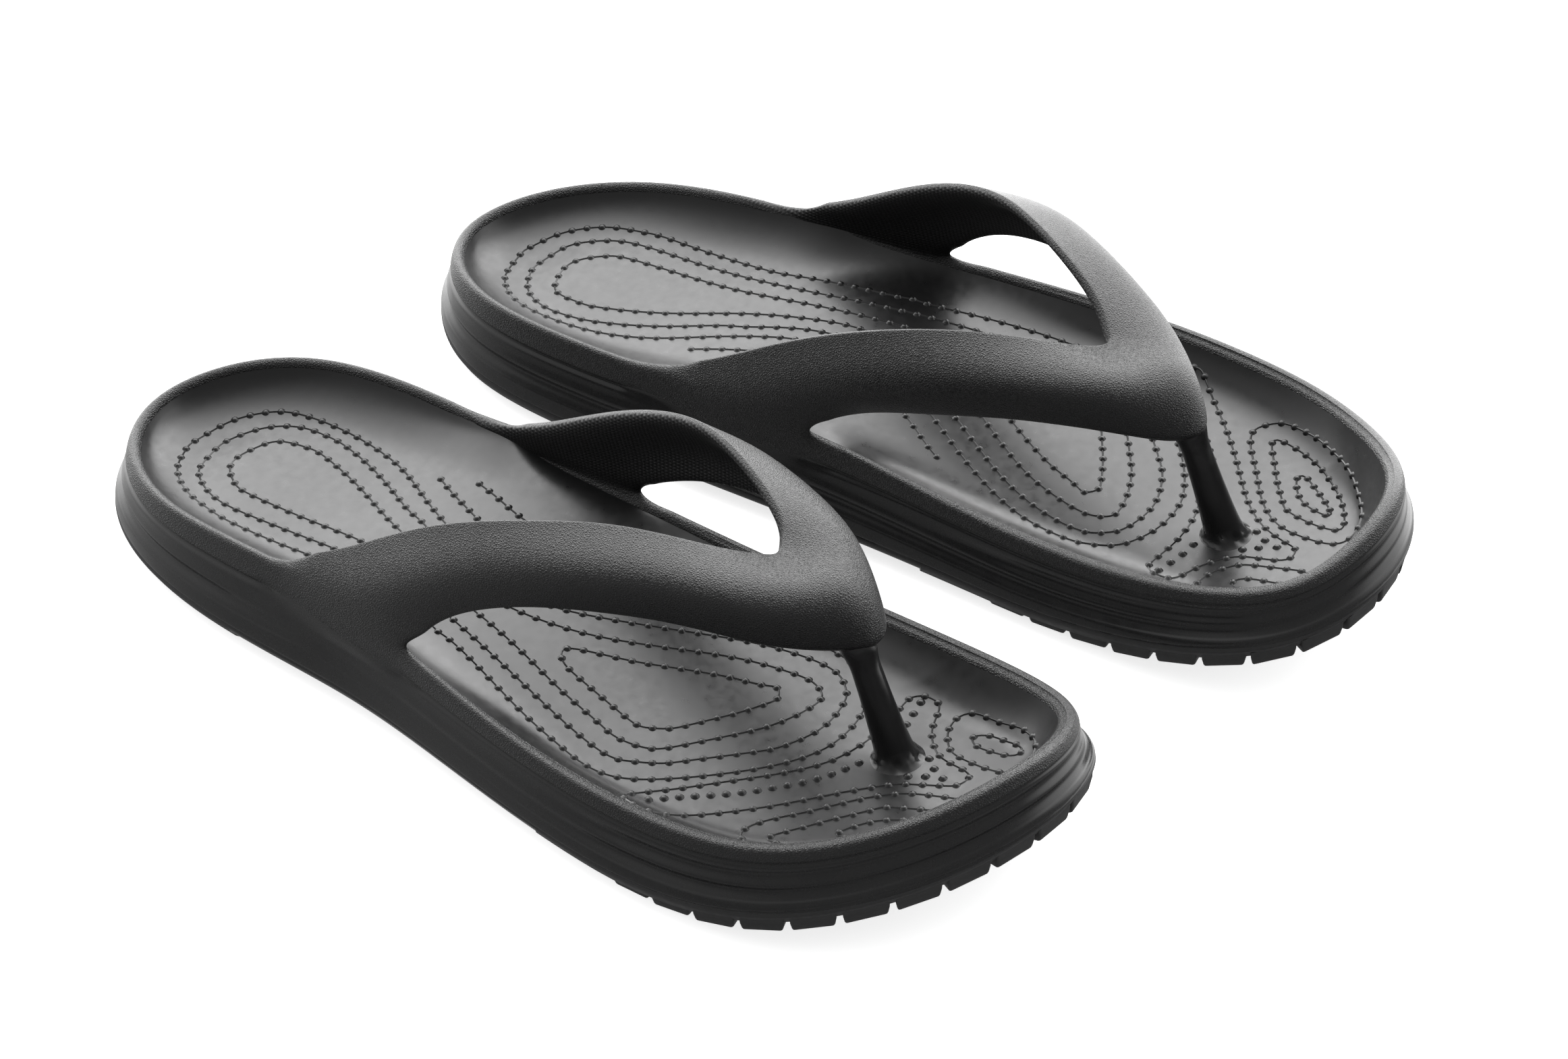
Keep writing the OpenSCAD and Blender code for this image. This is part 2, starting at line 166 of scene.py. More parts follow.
NUB_ROWS = [
    [(-3.3, 89.8), (6.2, 85.2), (15, 79), (23.5, 71.7), (31, 63.7), (36.3, 58.8)],
    [(-29, 88.3), (-26, 89), (-22.8, 89.8), (-19.6, 90.6), (-16.5, 91)]]
LOBE_NUBS = [(-9.1, 110), (-11, 106), (-7.7, 106), (-13.3, 102.8), (-5.5, 102.5)]

# ---------------------------------------------------------------- curves


def smooth_line(knots, values, at):
    """A natural cubic spline through values at knots, taken at the places at."""
    x = np.asarray(knots, float)
    v = np.asarray(values, float).reshape(len(x), -1)
    h = np.diff(x)
    system = np.eye(len(x))
    right = np.zeros_like(v)
    for i in range(1, len(x) - 1):
        system[i, i - 1:i + 2] = h[i - 1], 2 * (h[i - 1] + h[i]), h[i]
        right[i] = 6 * ((v[i + 1] - v[i]) / h[i] - (v[i] - v[i - 1]) / h[i - 1])
    bend = np.linalg.solve(system, right)
    at = np.asarray(at, float)
    k = np.clip(np.searchsorted(x, at, side="right") - 1, 0, len(x) - 2)
    a = ((x[k + 1] - at) / h[k])[:, None]
    b = 1 - a
    square = (h[k] ** 2)[:, None] / 6
    return a * v[k] + b * v[k + 1] + ((a ** 3 - a) * bend[k] + (b ** 3 - b) * bend[k + 1]) * square


def closed_line(points, at):
    """A smooth closed curve through points, one unit of at to a point."""
    p = np.asarray(points, float)
    n = len(p)
    eye = np.eye(n)
    system = 4 * eye + np.roll(eye, 1, 0) + np.roll(eye, -1, 0)
    slope = np.linalg.solve(system, 3 * (np.roll(p, -1, 0) - np.roll(p, 1, 0)))
    at = np.asarray(at, float)
    k = np.floor(at).astype(int)
    t = (at - k)[:, None]
    a, b = k % n, (k + 1) % n
    return ((1 + 2 * t) * (1 - t) ** 2 * p[a] + t * (1 - t) ** 2 * slope[a]
            + t * t * (3 - 2 * t) * p[b] + t * t * (t - 1) * slope[b])


def run_length(points):
    """Distance along a line of points from the first to each."""
    steps = np.linalg.norm(np.diff(points, axis=0), axis=1)
    return np.concatenate([[0], np.cumsum(steps)])


def unit(v):
    return v / np.linalg.norm(v, axis=-1, keepdims=True)


def step(x, low, high):
    """0 below low, 1 above high and smooth between them."""
    t = np.clip((x - low) / (high - low), 0, 1)
    return t * t * (3 - 2 * t)


def bump(x, width, power=2):
    return np.exp(-np.abs(x / width) ** power)


# ---------------------------------------------------------------- outline of the sole

dense = np.linspace(0, len(EDGE), 6001)
dense_edge = closed_line(EDGE, dense)
run = run_length(dense_edge)
places = np.interp(np.arange(COLUMNS) * run[-1] / COLUMNS, run, dense)
edge_xy = closed_line(EDGE, places)
crest = closed_line(CREST, places)
# The rim lifts gently where the strap grows out of it
ROOT_LIFT = 2.0
ROOT_Y = -47
crest[:, 2] += ROOT_LIFT * bump(crest[:, 1] - ROOT_Y, 10) * (np.abs(crest[:, 0]) > 20)
tangent = unit(np.roll(edge_xy, -1, 0) - np.roll(edge_xy, 1, 0))
outward = np.stack([tangent[:, 1], -tangent[:, 0], np.zeros(COLUMNS)], 1)


def edge_height(y):
    """Height of the lower edge of the sole above the floor."""
    toe = 19 * np.maximum(0, (y - 50) / 90) ** 2
    heel = 1.6 * np.maximum(0, (-y - 80) / 60) ** 2
    return LUG_HEIGHT + toe + heel


edge = np.column_stack([edge_xy, edge_height(edge_xy[:, 1])])
wall = crest[:, 2] - edge[:, 2]


def ring(t, out, up):
    """The ring at the share t of the way from lower edge to crest, moved outwards and up."""
    wider = 1 + 0.6 * step(edge[:, 1], 0, 70) * (t >= 1)
    p = edge + (crest - edge) * t + outward * (out * wider)[:, None]
    p[:, 2] += up
    return p


# ---------------------------------------------------------------- side wall

# Share of the wall, outwards, up
WALL_PROFILE = np.array([
    (0, -1.7, 0), (0, -0.7, 0.25), (0, -0.1, 1.1), (0.1, 0.45, 0), (0.18, 0.7, 0),
    (0.3, 0.7, 0), (0.45, 0.5, 0), (0.6, 0.4, 0), (0.75, 0.7, 0), (0.87, 0.85, 0),
    (0.94, 0.75, 0), (0.985, 0.45, 0), (1, -0.1, 0.05), (1, -0.9, -0.05), (1, -1.6, -0.6),
    (1, -RIM, -RIM_DROP)])
WALL_ROWS = 130
TYPICAL_WALL = 24
flat = np.column_stack([WALL_PROFILE[:, 1], TYPICAL_WALL * WALL_PROFILE[:, 0] + WALL_PROFILE[:, 2]])
knots = run_length(flat)
rows = smooth_line(knots, WALL_PROFILE, np.linspace(0, knots[-1], WALL_ROWS))


def forefoot(y):
    return step(y, -20, 55)


def line_share(y):
    """Where the upper line of the wall runs, as a share of the wall's height."""
    return 0.70 + 0.10 * forefoot(y)


def flute_strength(p):
    """The flutes nearly vanish below the little-toe root of the strap."""
    y = p[:, 1]
    side = step(p[:, 0], -10, 10)
    quiet = step(y, -92, -62) * (1 - step(y, 38, 72))
    return 1 - quiet * (0.72 * side + 0.12 * (1 - side))


def carve(t, up):
    """How far the wall is moved outwards at share t by its flutes, lines and lip."""
    y = edge[:, 1]
    strength = flute_strength(edge)
    fore = forefoot(y)
    share = t + up / wall
    upper = (share - line_share(y)) * wall
    move = -(0.95 - 0.6 * fore) * bump(upper, 0.95 - 0.4 * fore, 2.4)
    move -= strength * 0.8 * step(y, 30, 70) * bump((share - 0.605) * wall, 1.7, 2.2)
    move -= strength * bump((share - 0.395) * wall, 1.6, 2.2)
    move += strength * 0.28 * bump((share - 0.5) * wall, 1.3)
    lip = 1 - step((share - 0.29) * wall, -0.25, 0.25)
    move += 0.2 * lip * step(share * wall, 0.6, 3)
    joint = share * wall - PAD
    move -= 0.25 * bump(joint, 0.3, 1.6)
    return move


wall_rings = []
for t, out, up in rows:
    r = ring(t, out, up)
    inside_wall = 0 <= t < 0.97 and out > -0.4
    if inside_wall:
        r = r + outward * carve(t, up)[:, None]
    wall_rings.append(r)
rim_edge = wall_rings[-1]

# ---------------------------------------------------------------- footbed surface


def bed_height(x, y):
    """Height of the footbed's hollow, with the rise under the arch of the foot."""
    line = smooth_line(np.arange(-140, 141, 35), BED_HEIGHTS, np.clip(y, -140, 140))[:, 0]
    arch = 5 * np.exp(-((y + 32) / 36) ** 2) * np.maximum(0, -x / 36) ** 2
    return line + arch


def bed_ring(f, down=0.0):
    """The footbed's ring at the share f of the way from the middle to the rim, lowered by down."""
    x = rim_edge[:, 0] * f
    y = rim_edge[:, 1] * (0.62 + 0.38 * f)
    rim_y = rim_edge[:, 1]
    start = 0.6 - 0.55 * np.exp(-((rim_y + 58) / 46) ** 4) + 0.2 * np.clip((rim_y - 90) / 40, 0, 1)
    start = np.maximum(start, 0.6 + 0.12 * step(rim_y, 0, 40) * step(rim_edge[:, 0], 5, 30))
    rise = np.maximum(0, f - start) / (1 - start)
    heel = step(-rim_y, 30, 60)
    up = (1 - 0.2 * heel) * rise ** (2.9 - heel) + 0.2 * heel * rise ** 14
    z = bed_height(x, y)
    z = z + (rim_edge[:, 2] - z) * up - down
    if down == 0:
        away = np.hypot(x - POST_FOOT[0], y - POST_FOOT[1])
        z = z + np.exp(-(away / 8.5) ** 2)
    return np.column_stack([x, y, z])


# From the middle to the rim
BED_SHARES = np.concatenate([[0.03, 0.08], np.linspace(0.15, 0.6, 12), np.linspace(0.63, 1, 24)])

# ---------------------------------------------------------------- meshes


def loft(rings):
    """A closed solid through rings that run anticlockwise seen from the end of the stack."""
    n = len(rings[0])
    k = len(rings)
    points = np.concatenate(rings)
    i = np.arange(n)
    j = (i + 1) % n
    faces = []
    for row in range(k - 1):
        a = row * n
        faces += np.stack([a + i, a + j, a + n + j, a + n + i], 1).tolist()
    for start, turned in ((0, True), ((k - 1) * n, False)):
        for m in range(n // 2):
            corner = [start + m, start + m + 1, start + (n - m - 1) % n, start + (n - m) % n]
            corner = list(dict.fromkeys(corner))
            if len(corner) > 2:
                faces.append(corner[::-1] if turned else corner)
    return points, faces


def make_mesh(name, points, faces):
    mesh = bpy.data.meshes.new(name)
    mesh.from_pydata(np.asarray(points).tolist(), [], faces)
    mesh.validate()
    return mesh


def temp_object(mesh):
    obj = bpy.data.objects.new("work", mesh)
    bpy.context.scene.collection.objects.link(obj)
    return obj


def combine(mesh, others, how):
    """mesh united with, cut by or kept inside each of the others, as a new mesh."""
    work = temp_object(mesh)
    tools = [temp_object(m) for m in others]
    for tool in tools:
        modifier = work.modifiers.new("step", "BOOLEAN")
        modifier.operation = how
        modifier.object = tool
        modifier.solver = "MANIFOLD"
    bpy.context.view_layer.update()
    depsgraph = bpy.context.evaluated_depsgraph_get()
    result = bpy.data.meshes.new_from_object(work.evaluated_get(depsgraph))
    for obj in [work] + tools:
        bpy.data.objects.remove(obj)
    return result


def positions(mesh):
    p = np.empty(len(mesh.vertices) * 3)
    mesh.vertices.foreach_get("co", p)
    return p.reshape(-1, 3)


def set_positions(mesh, p):
    mesh.vertices.foreach_set("co", np.ascontiguousarray(p, float).ravel())
    mesh.update()


def normals(mesh):
    n = np.empty(len(mesh.vertices) * 3)
    mesh.vertex_normals.foreach_get("vector", n)
    return n.reshape(-1, 3)


# ---------------------------------------------------------------- sole body

bed_under = [bed_ring(f, FOOTBED) for f in BED_SHARES[::-1]]
sole = make_mesh("sole", *loft(wall_rings + bed_under))


def prism(outline, low, high):
    n = len(outline)
    points = [(x, y, low) for x, y in outline] + [(x, y, high) for x, y in outline]
    faces = [list(range(n))[::-1], list(range(n, 2 * n))]
    faces += [[i, (i + 1) % n, n + (i + 1) % n, n + i] for i in range(n)]
    return points, faces


def pad_zone(y, direction):
    """The space of a tread pad under the sole, ahead of y or behind it, up to the joint line."""
    zone = make_mesh("zone", *loft([ring(0, 3, -4), ring(0, 3, PAD)]))
    radius = 70
    turn = np.linspace(0, math.pi, 60)
    arc = [(radius * math.cos(a), y + direction * (radius - radius * math.sin(a))) for a in turn]
    far = y + direction * 230
    outline = arc + [(-radius, far), (radius, far)]
    if direction > 0:
        outline = outline[::-1]
    return combine(zone, [make_mesh("half", *prism(outline, -2, 60))], "INTERSECT")


fore_zone = pad_zone(FORE_PAD_BACK, 1)
heel_zone = pad_zone(HEEL_PAD_FRONT, -1)

lean = math.radians(POST_LEAN)
post_matrix = Matrix.Translation(POST_FOOT) @ Matrix.Rotation(lean, 4, "X")


def lathe(profile, sides=64):
    """A closed turned solid from (radius, height) pairs, standing on the post's axis."""
    points = []
    faces = []
    for r, h in profile:
        for s in range(sides):
            a = 2 * math.pi * s / sides
            points.append(post_matrix @ Vector((r * math.cos(a), r * math.sin(a), h)))
    for row in range(len(profile) - 1):
        for s in range(sides):
            a = row * sides + s
            b = row * sides + (s + 1) % sides
            faces.append([a, b, b + sides, a + sides])
    faces.append(list(range(sides))[::-1])
    last = (len(profile) - 1) * sides
    faces.append(list(range(last, last + sides)))
    return np.array([tuple(p) for p in points]), faces


post_bore = make_mesh("bore", *lathe([(POST_RADIUS, -20), (POST_RADIUS, 20)]))
anchor_bore = make_mesh("bore", *lathe([(ANCHOR_RADIUS, -20), (ANCHOR_RADIUS, -ANCHOR_TOP)]))

# ---------------------------------------------------------------- strap

ALONG = 300
AROUND = 30
strap_line = smooth_line(np.arange(len(STRAP)), STRAP, np.linspace(0, len(STRAP) - 1, ALONG))
rear, front = strap_line[:, 0:3], strap_line[:, 3:6]
chord = front - rear
middle = rear + front
along = np.gradient(middle, axis=0)
face_out = unit(np.cross(chord, along))
half_turn = np.arange(AROUND) / AROUND
across = (1 - np.cos(math.pi * half_turn)) / 2
across = np.concatenate([across, 1 - across])
strap_rings = []
for i in range(ALONG):
    crown, thick = strap_line[i, 6], STRAP_THICKNESS * strap_line[i, 7]
    bulge = crown * np.sin(math.pi * across ** 1.25)
    full = (4 * across * (1 - across)) ** 0.35
    side = np.where(np.arange(2 * AROUND) < AROUND, 0.15, -0.85)
    lift = bulge + full * thick * side
    strap_rings.append(rear[i] + chord[i] * across[:, None] + face_out[i] * lift[:, None])
strap_solid = make_mesh("strap", *loft(strap_rings))

# ---------------------------------------------------------------- sole and strap in one flow

for mesh, index in ((sole, 0), (strap_solid, 1)):
    mesh.materials.append(bpy.data.materials.new("sole_mark"))
    mesh.materials.append(bpy.data.materials.new("strap_mark"))
    mesh.polygons.foreach_set("material_index", np.full(len(mesh.polygons), index, np.int32))
upper = combine(sole, [strap_solid], "UNION")


def blend_joint(mesh, reach, rounds):
    """Smooths the mesh round the seam between its two materials, fading out at reach."""
    p = positions(mesh)
    slot = np.empty(len(mesh.polygons), int)
    mesh.polygons.foreach_get("material_index", slot)
    sides = np.empty(len(mesh.polygons), int)
    mesh.polygons.foreach_get("loop_total", sides)
    corner = np.empty(len(mesh.loops), int)
    mesh.loops.foreach_get("vertex_index", corner)
    mark = np.repeat(slot, sides)
    touched = np.zeros((len(p), 2), bool)
    touched[corner[mark == 0], 0] = True
    touched[corner[mark == 1], 1] = True
    seam = np.flatnonzero(touched.all(1))
    tree = KDTree(len(seam))
    for k, v in enumerate(seam):
        tree.insert(p[v], k)
    tree.balance()
    low, high = p[seam].min(0) - reach, p[seam].max(0) + reach
    near = np.flatnonzero(((p > low) & (p < high)).all(1))
    away = np.full(len(p), 1e9)
    for v in near:
        away[v] = tree.find(p[v])[2]
    weight = 1 - step(away, 0.15 * reach, reach)
    inner = KDTree(COLUMNS)
    for k in range(COLUMNS):
        inner.insert(rim_edge[k], k)
    inner.balance()
    for v in np.flatnonzero(weight > 0):
        weight[v] *= step(inner.find(p[v])[2], 0.2, 1.8)
    ends = np.empty(len(mesh.edges) * 2, int)
    mesh.edges.foreach_get("vertices", ends)
    ends = ends.reshape(-1, 2)
    ends = ends[(weight[ends] > 0).any(1)]
    count = np.bincount(ends.ravel(), minlength=len(p))[:, None]
    for _ in range(rounds):
        total = np.zeros_like(p)
        np.add.at(total, ends[:, 0], p[ends[:, 1]])
        np.add.at(total, ends[:, 1], p[ends[:, 0]])
        mean = np.where(count > 0, total / np.maximum(count, 1), p)
        p = p + 0.6 * weight[:, None] * (mean - p)
    set_positions(mesh, p)


blend_joint(upper, BLEND_REACH, BLEND_ROUNDS)
upper = combine(upper, [fore_zone, heel_zone, post_bore, anchor_bore], "DIFFERENCE")
STRAP_SPACE = [(-60, -76), (60, -76), (60, 97), (-60, 97)]
strap_zone = make_mesh("zone", *prism(STRAP_SPACE, SEAM_HEIGHT, 90))
strap_mesh = combine(upper, [strap_zone], "INTERSECT")
midsole_mesh = combine(upper, [strap_zone], "DIFFERENCE")

# ---------------------------------------------------------------- footbed with its raised lines

bed_top = [bed_ring(f) for f in BED_SHARES[::-1]]
footbed_mesh = make_mesh("bed", *loft(bed_under[::-1] + bed_top))
footbed_mesh = combine(footbed_mesh, [post_bore], "DIFFERENCE")
bed_work = bmesh.new()
bed_work.from_mesh(footbed_mesh)
bed_tree = BVHTree.FromBMesh(bed_work)
bed_work.free()


def on_bed(x, y):
    """The point of the footbed's top above (x, y), and its normal."""
    hit, normal, _, _ = bed_tree.ray_cast(Vector((x, y, 100)), Vector((0, 0, -1)))
    if hit is None:
        return None
    return np.array(hit), np.array(normal)


detail_points = []
detail_faces = []


def add_detail(points, faces):
    base = len(detail_points)
    detail_points.extend(points)
    detail_faces.extend([[base + c for c in f] for f in faces])


def nub(x, y, radius, height):
    """A small round bead that rises smoothly from the footbed."""
    spot = on_bed(x, y)
    if spot is None:
        return
    centre, up = spot
    side = unit(np.cross(up, (0.3, 1, 0)))
    other = np.cross(up, side)
    levels = [(1.25, -0.35), (1.12, 0.02), (0.9, 0.22), (0.72, 0.62), (0.46, 0.9), (0.2, 1.0)]
    sides = 12
    points = []
    for r, h in levels:
        for s in range(sides):
            a = 2 * math.pi * s / sides
            reach = radius * r
            points.append(centre + reach * (math.cos(a) * side + math.sin(a) * other)
                          + up * height * h)
    faces = [list(range(sides))[::-1]]
    for row in range(len(levels) - 1):
        for s in range(sides):
            a = row * sides + s
            b = row * sides + (s + 1) % sides
            faces.append([a, b, b + sides, a + sides])
    last = (len(levels) - 1) * sides
    faces.append(list(range(last, last + sides)))
    add_detail(points, faces)


def ridge(line, closed, width, height):
    """A fine raised line along the footbed."""
    section = [(-0.9, -0.3), (-0.62, 0.08), (-0.3, 0.72), (0, 1.0), (0.3, 0.72), (0.62, 0.08),
               (0.9, -0.3)]
    n = len(line)
    points = []
    for i in range(n):
        a = line[i - 1] if closed or i > 0 else line[i]
        b = line[(i + 1) % n] if closed or i < n - 1 else line[i]
        spot = on_bed(*line[i])
        if spot is None:
            return
        centre, up = spot
        forward = unit(np.append(b - a, 0.0))
        sideways = unit(np.cross(forward, up))
        for across_share, rise in section:
            points.append(centre + sideways * width * across_share + up * height * rise)
    m = len(section)
    faces = []
    for i in range(n if closed else n - 1):
        for s in range(m):
            a, b = i * m + s, i * m + (s + 1) % m
            c, d = ((i + 1) % n) * m + s, ((i + 1) % n) * m + (s + 1) % m
            faces.append([a, b, d, c])
    if not closed:
        faces.append(list(range(m)))
        faces.append(list(range((n - 1) * m, n * m))[::-1])
    add_detail(points, faces)


def spaced(points, closed, pitch):
    """Points every pitch along the smooth line through points."""
    fine = np.linspace(0, len(points) - (0 if closed else 1), 60 * len(points))
    if closed:
        line = closed_line(points, fine)
    else:
        line = smooth_line(np.arange(len(points)), points, fine)
    length = run_length(line)
    count = max(2, round(length[-1] / pitch))
    at = np.arange(count if closed else count + 1) * length[-1] / count
    return np.column_stack([np.interp(at, length, line[:, 0]), np.interp(at, length, line[:, 1])])


def beaded(points, closed):
    """A fine ridge along the line with a bead every few millimetres."""
    ridge(spaced(points, closed, 1.0), closed, *RIDGE_SIZE)
    for x, y in spaced(points, closed, BEAD_PITCH):
        nub(x, y, *BEAD)


for line in HEEL_LOOPS + [TEARDROP] + TOE_PADS + [RIDGE]:
    beaded(line, True)
for line in ARCH_LINES:
    beaded(line, False)
for line in NUB_ROWS:
    for x, y in spaced(line, False, NUB_PITCH):
        nub(x, y, *NUB)
for x, y in LOBE_NUBS:
    nub(x, y, *NUB)

bed_points = positions(footbed_mesh)
bed_faces = [list(f.vertices) for f in footbed_mesh.polygons]
offset = len(bed_points)
all_points = np.concatenate([bed_points, np.array(detail_points)])
all_faces = bed_faces + [[offset + c for c in f] for f in detail_faces]
footbed_mesh = make_mesh("footbed", all_points, all_faces)

# ---------------------------------------------------------------- tread

tread_rings = [ring(0, -3.4, -1.75), ring(0, -2.0, -1.6), ring(0, -1.2, -1.0)]
tread_rings += [r for r, row in zip(wall_rings, rows) if 0.35 < row[0] * TYPICAL_WALL + row[2] < 6.5]
tread_foot = make_mesh("foot", *loft(tread_rings))
edge_run = run_length(np.concatenate([edge_xy, edge_xy[:1]]))


def edge_spot(s):
    """The point of the lower edge at a distance s from the toe, and outwards there."""
    s = s % edge_run[-1]
    k = min(int(np.searchsorted(edge_run, s, side="right")) - 1, COLUMNS - 1)
    t = (s - edge_run[k]) / (edge_run[k + 1] - edge_run[k])
    return edge_xy[k] + (edge_xy[(k + 1) % COLUMNS] - edge_xy[k]) * t, outward[k, :2]


def rounded_outline(corners, radius, steps=4):
    """A polygon's outline with its corners rounded."""
    outline = []
    n = len(corners)
    for i in range(n):
        p, a, b = corners[i], corners[i - 1], corners[(i + 1) % n]
        start = p + unit(a - p) * radius
        end = p + unit(b - p) * radius
        for s in range(steps + 1):
            t = s / steps
            outline.append(start * (1 - t) ** 2 + 2 * p * t * (1 - t) + end * t ** 2)
    return np.array(outline)


def lug(corners):
    """A rounded tread block that tapers towards the floor."""
    corners = np.array(corners)
    centre = corners.mean(0)
    levels = [(1.25, 0.0), (0.9, 0.15), (0.65, 0.6), (0.2, LUG_HEIGHT - 1.3), (0.0, LUG_HEIGHT + 0.8)]
    rings = []
    for inset, height in levels:
        shrunk = corners + unit(centre - corners) * inset
        outline = rounded_outline(shrunk, 0.7)
        z = edge_height(outline[:, 1]) - LUG_HEIGHT + height
        rings.append(np.column_stack([outline, z]))
    rings.insert(0, rings[0] * (0.75, 0.75, 1) + np.append(rings[0][:, :2].mean(0) * 0.25, 0))
    return make_mesh("lug", *loft(rings))


def anticlockwise(corners):
    x, y = np.array(corners).T
    area = np.sum(x * np.roll(y, -1) - y * np.roll(x, -1))
    return corners if area > 0 else corners[::-1]


def edge_lugs(low, high):
    """Lugs along the edge of the sole where its y lies between low and high."""
    total = edge_run[-1]
    count = int(total // LUG_PITCH)
    made = []
    for k in range(count):
        p, out = edge_spot((k + 0.5) * total / count)
        if not low < p[1] < high:
            continue
        along_edge = np.array([-out[1], out[0]]) * LUG_LENGTH / 2
        inset = 4.2 if p[1] < 0 else 0.6 + 2.6 * min(max(0, 90 - p[1]) / 50, 1)
        outer = [p - along_edge - out * inset, p + along_edge - out * inset]
        inner = [p + along_edge * 0.85 - out * LUG_DEPTH, p - along_edge * 0.85 - out * LUG_DEPTH]
        made.append(lug(anticlockwise(outer + inner)))
    return made


def edge_span(y):
    """The lower edge's x on the big toe's side and on the little toe's side."""
    near = np.abs(edge_xy[:, 1] - y) < 3
    left = np.interp(y, *sorted_side(edge_xy[near & (edge_xy[:, 0] < 0)]))
    right = np.interp(y, *sorted_side(edge_xy[near & (edge_xy[:, 0] > 0)]))
    return left, right


def sorted_side(p):
    order = np.argsort(p[:, 1])
    return p[order, 1], p[order, 0]


def cross_lugs(first, last):
    """Pairs of bars across the sole, inside the edge lugs."""
    made = []
    half = CROSS_WIDTH / 2
    for y in np.arange(first, last, CROSS_PITCH):
        left, right = edge_span(y)
        centre = (left + right) / 2
        for a, b in ((left + 15.5, centre - 1.6), (centre + 1.6, right - 15.5)):
            made.append(lug([(a, y - half), (b, y - half), (b, y + half), (a, y + half)]))
    return made


def tread(zone, lugs, bores):
    """A tread pad: the sole's foot inside the zone with its lugs, less the bores."""
    pad = combine(tread_foot, [zone], "INTERSECT")
    pad = combine(pad, lugs, "UNION")
    return combine(pad, bores, "DIFFERENCE")


fore_tread_mesh = tread(fore_zone, edge_lugs(38, 150) + cross_lugs(30, 84), [anchor_bore])
heel_tread_mesh = tread(heel_zone, edge_lugs(-150, -74) + cross_lugs(-112, -75), [])

# ---------------------------------------------------------------- post and anchor


def turned(profile, steps=6):
    """A smooth profile through (radius, height) pairs."""
    p = np.array(profile, float)
    length = run_length(p)
    return smooth_line(length, p, np.linspace(0, length[-1], steps * len(p))).tolist()


# The stem and the skirt at its foot, as (radius, height)
STEM = [(4.7, 3.6), (4.5, 5.6), (4.3, 8), (4.05, 12), (3.85, 16), (3.7, 20), (3.6, 24),
        (3.65, 27), (3.95, 29), (4.3, 31), (4.3, 33)]
SKIRT = [(6.8, -0.15), (6.3, 0.12), (5.85, 0.42), (5.45, 0.85), (5.15, 1.4), (4.95, 2.0)]


def post_rings():
    """The post: its hidden lower end, a puckered skirt that hugs the footbed, and the stem."""
    turn = np.arange(72) * 2 * math.pi / 72
    circle = np.column_stack([np.cos(turn), np.sin(turn), np.zeros(72)])
    made = []

    def straight(radius, height):
        made.append(np.array([tuple(post_matrix @ Vector((*(c * radius)[:2], height))) for c in circle]))

    straight(POST_RADIUS, -ANCHOR_TOP)
    straight(POST_RADIUS, -2.4)
    for radius, rise in SKIRT:
        pucker = 1 + 0.30 * np.sin(5 * turn + 1) + 0.18 * np.sin(11 * turn + 2.5)
        points = []
        for c, fold in zip(circle, pucker):
            x, y = POST_FOOT[0] + c[0] * radius, POST_FOOT[1] + c[1] * radius - 0.36 * rise
            points.append(on_bed(x, y)[0] + (0, 0, rise * (fold if rise < 1.6 else 1)))
        made.append(np.array(points))
    for radius, height in turned(STEM, 5):
        straight(radius, height)
    return made


post_mesh = make_mesh("post", *loft(post_rings()))
disc = [(ANCHOR_RADIUS - 0.5, -ANCHOR_TOP - ANCHOR_THICKNESS),
        (ANCHOR_RADIUS - 0.1, -ANCHOR_TOP - ANCHOR_THICKNESS + 0.15),
        (ANCHOR_RADIUS, -ANCHOR_TOP - ANCHOR_THICKNESS + 0.5), (ANCHOR_RADIUS, -ANCHOR_TOP)]
anchor_mesh = make_mesh("anchor", *lathe(disc, 72))

# ---------------------------------------------------------------- surface marks for the materials


def set_mark(mesh, name, values):
    layer = mesh.attributes.new(name, "FLOAT", "POINT")
    layer.data.foreach_set("value", np.ascontiguousarray(values, np.float32))


def wall_share(p):
    """The share of the wall's height at which each point lies, and its height in millimetres."""
    share = np.empty(len(p))
    for k in range(0, len(p), 4000):
        part = p[k:k + 4000]
        gap = ((part[:, None, :2] - edge_xy[None]) ** 2).sum(2)
        c = gap.argmin(1)
        share[k:k + 4000] = (part[:, 2] - edge[c, 2]) / wall[c]
    return share


def mark_upper(mesh):
    """Marks the leather grain, and the knit-like inner face of the strap."""
    p = positions(mesh)
    n = normals(mesh)
    share = wall_share(p)
    grain = step(share - line_share(p[:, 1]), 0.0, 0.02)
    sheet = KDTree(ALONG)
    for k in range(ALONG):
        sheet.insert(middle[k] / 2, k)
    sheet.balance()
    knit = np.zeros(len(p))
    for v in np.flatnonzero(p[:, 2] > 27):
        k = sheet.find(p[v])[1]
        knit[v] = float(n[v] @ face_out[k])
    knit = step(-knit, 0.05, 0.5) * step(p[:, 2], 29, 34)
    set_mark(mesh, "grain", grain)
    set_mark(mesh, "knit", knit)


mark_upper(strap_mesh)
mark_upper(midsole_mesh)

# ---------------------------------------------------------------- materials


